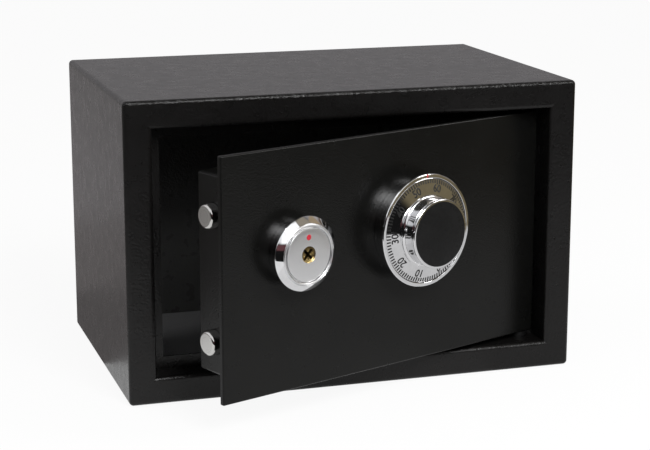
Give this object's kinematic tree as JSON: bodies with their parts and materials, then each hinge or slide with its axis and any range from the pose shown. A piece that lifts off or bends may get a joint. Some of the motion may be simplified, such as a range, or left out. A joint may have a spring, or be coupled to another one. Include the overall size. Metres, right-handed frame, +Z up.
{
  "type": "home safe",
  "caption": "Small black steel safe with a right-hinged door ajar, a chromed combination dial, a cross-key lock and round locking bolts drawn in.",
  "frame": {"origin": "middle of the body's base footprint, on the floor", "axes": "+X to the right along the front, -Y out of the front, +Z up"},
  "size_m": [0.31, 0.2803, 0.2],
  "materials": {
    "body_paint": "fine textured powder coat",
    "door_paint": "fine textured powder coat",
    "felt": "needle felt",
    "chrome": "polished",
    "lock_face_steel": "circular brushed",
    "dial_metal": "bright, with black printed graduations and numbers",
    "black_inlay": "glossy",
    "brass": "machined",
    "zinc_steel": "zinc plated",
    "dark_steel": "oiled",
    "lock_casting": "die cast",
    "screw_steel": "zinc plated",
    "spring_steel": "drawn wire"
  },
  "bodies": {
    "body": {"body_shell": "body_paint", "back_panel": "body_paint", "floor_mat": "felt", "frame_hinge_block_bottom": "body_paint", "frame_hinge_block_top": "body_paint", "bolt_keeper": "body_paint"},
    "door": {"door_plate": "door_paint", "door_hinge_bracket_bottom": "door_paint", "door_hinge_bracket_top": "door_paint", "hinge_pin_bottom": "dark_steel", "hinge_pin_top": "dark_steel", "hinge_thrust_washer": "dark_steel", "bolt_box": "door_paint", "cover_posts": "zinc_steel", "back_cover": "door_paint", "cover_screws": "screw_steel", "lock_bezel": "chrome", "lock_face": "lock_face_steel", "lock_body": "lock_casting", "lock_nut": "zinc_steel", "guide_posts": "zinc_steel", "guide_screws": "screw_steel", "dial_ring": "chrome", "wheel_post": "zinc_steel", "wheel_post_nut": "zinc_steel", "pack_base_plate": "zinc_steel", "pack_pillars": "zinc_steel", "pack_rear_plate": "zinc_steel", "pack_screws": "screw_steel", "wheel_spacers": "brass", "lever_pivot_post": "zinc_steel", "lever_spring": "spring_steel"},
    "plug": {"lock_plug": "brass", "lock_cam": "zinc_steel", "lock_cam_screw": "screw_steel"},
    "bolts": {"bolt_bar": "zinc_steel", "bolt_upper": "chrome", "bolt_lower": "chrome", "bolt_screws": "screw_steel"},
    "dial_set": {"dial": "dial_metal", "dial_knob": "chrome", "knob_inlay": "black_inlay", "knob_screw": "screw_steel", "spindle": "zinc_steel", "drive_cam": "brass", "spindle_clip": "zinc_steel"},
    "wheel_front": {"tumbler_wheel_front": "brass"},
    "wheel_middle": {"tumbler_wheel_middle": "brass"},
    "wheel_rear": {"tumbler_wheel_rear": "brass"},
    "lever": {"fence_lever": "zinc_steel"}
  },
  "joints": [
    {"name": "door_swing", "type": "hinge", "parent": "body", "child": "door", "pos_m": [0.1255, -0.078, 0.1], "axis": [0, 0, 1], "range_deg": [-21.5, 73.5]},
    {"name": "bolt_slide", "type": "slide", "parent": "door", "child": "bolts", "axis": [-0.9304, -0.3665, 0], "range_m": [0, 0.014]},
    {"name": "key_turn", "type": "hinge", "parent": "door", "child": "plug", "pos_m": [-0.06127, -0.1591, 0.112], "axis": [0.3665, -0.9304, 0], "range_deg": [0, 90]},
    {"name": "lever_drop", "type": "hinge", "parent": "door", "child": "lever", "pos_m": [0.04491, -0.09577, 0.14075], "axis": [0.3665, -0.9304, 0], "range_deg": [0, 4.4]},
    {"name": "dial_spin", "type": "hinge", "parent": "door", "child": "dial_set", "pos_m": [0.02805, -0.12391, 0.11325], "axis": [0.3665, -0.9304, 0], "continuous": true},
    {"name": "front_wheel_spin", "type": "hinge", "parent": "door", "child": "wheel_front", "pos_m": [0.02438, -0.11461, 0.11325], "axis": [0.3665, -0.9304, 0], "continuous": true},
    {"name": "middle_wheel_spin", "type": "hinge", "parent": "door", "child": "wheel_middle", "pos_m": [0.02292, -0.11089, 0.11325], "axis": [0.3665, -0.9304, 0], "continuous": true},
    {"name": "rear_wheel_spin", "type": "hinge", "parent": "door", "child": "wheel_rear", "pos_m": [0.02108, -0.10623, 0.11325], "axis": [0.3665, -0.9304, 0], "continuous": true}
  ],
  "couplings": [
    {"joint": "key_turn", "follows": "bolt_slide", "rad_per_m": 112.2},
    {"joint": "lever_drop", "follows": "bolt_slide", "rad_per_m": 5.4853},
    {"joint": "front_wheel_spin", "follows": "dial_spin", "ratio": 1},
    {"joint": "middle_wheel_spin", "follows": "dial_spin", "ratio": 1},
    {"joint": "rear_wheel_spin", "follows": "dial_spin", "ratio": 1}
  ]
}
